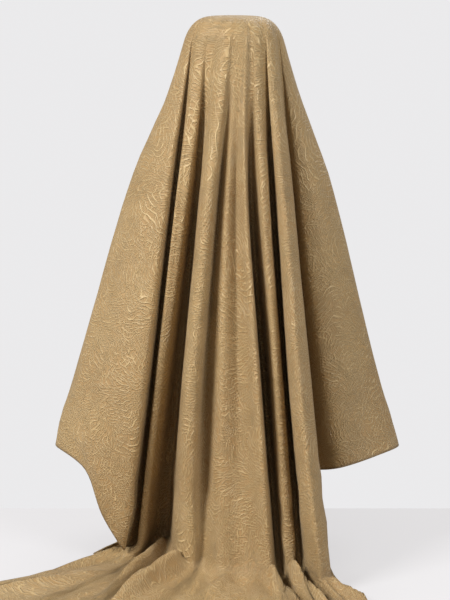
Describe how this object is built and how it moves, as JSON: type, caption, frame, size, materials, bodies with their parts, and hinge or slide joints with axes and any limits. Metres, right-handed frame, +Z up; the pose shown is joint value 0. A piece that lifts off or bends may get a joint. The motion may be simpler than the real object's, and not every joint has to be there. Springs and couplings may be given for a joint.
{
  "type": "jacquard fabric draped over a display stand",
  "caption": "Length of tan jacquard cloth hung over a round display stand, falling in deep folds to the surface, where its front end spreads out.",
  "frame": {"origin": "centre of the underside of the stand's base, on the surface the part stands on", "axes": "+Z up along the stand's post, +X to the right of the front view, -Y the front, where the cloth runs out on the surface"},
  "size_m": [0.8114, 0.8454, 0.7808],
  "materials": {
    "jacquard_cloth": "soft satin weave with a raised tone-on-tone pattern",
    "top_plate": "sanded",
    "post": "brushed",
    "base": "satin powder coat"
  },
  "bodies": {
    "root": {"fabric": "jacquard_cloth", "stand_top": "top_plate", "stand_post": "post", "stand_base": "base"}
  },
  "joints": []
}
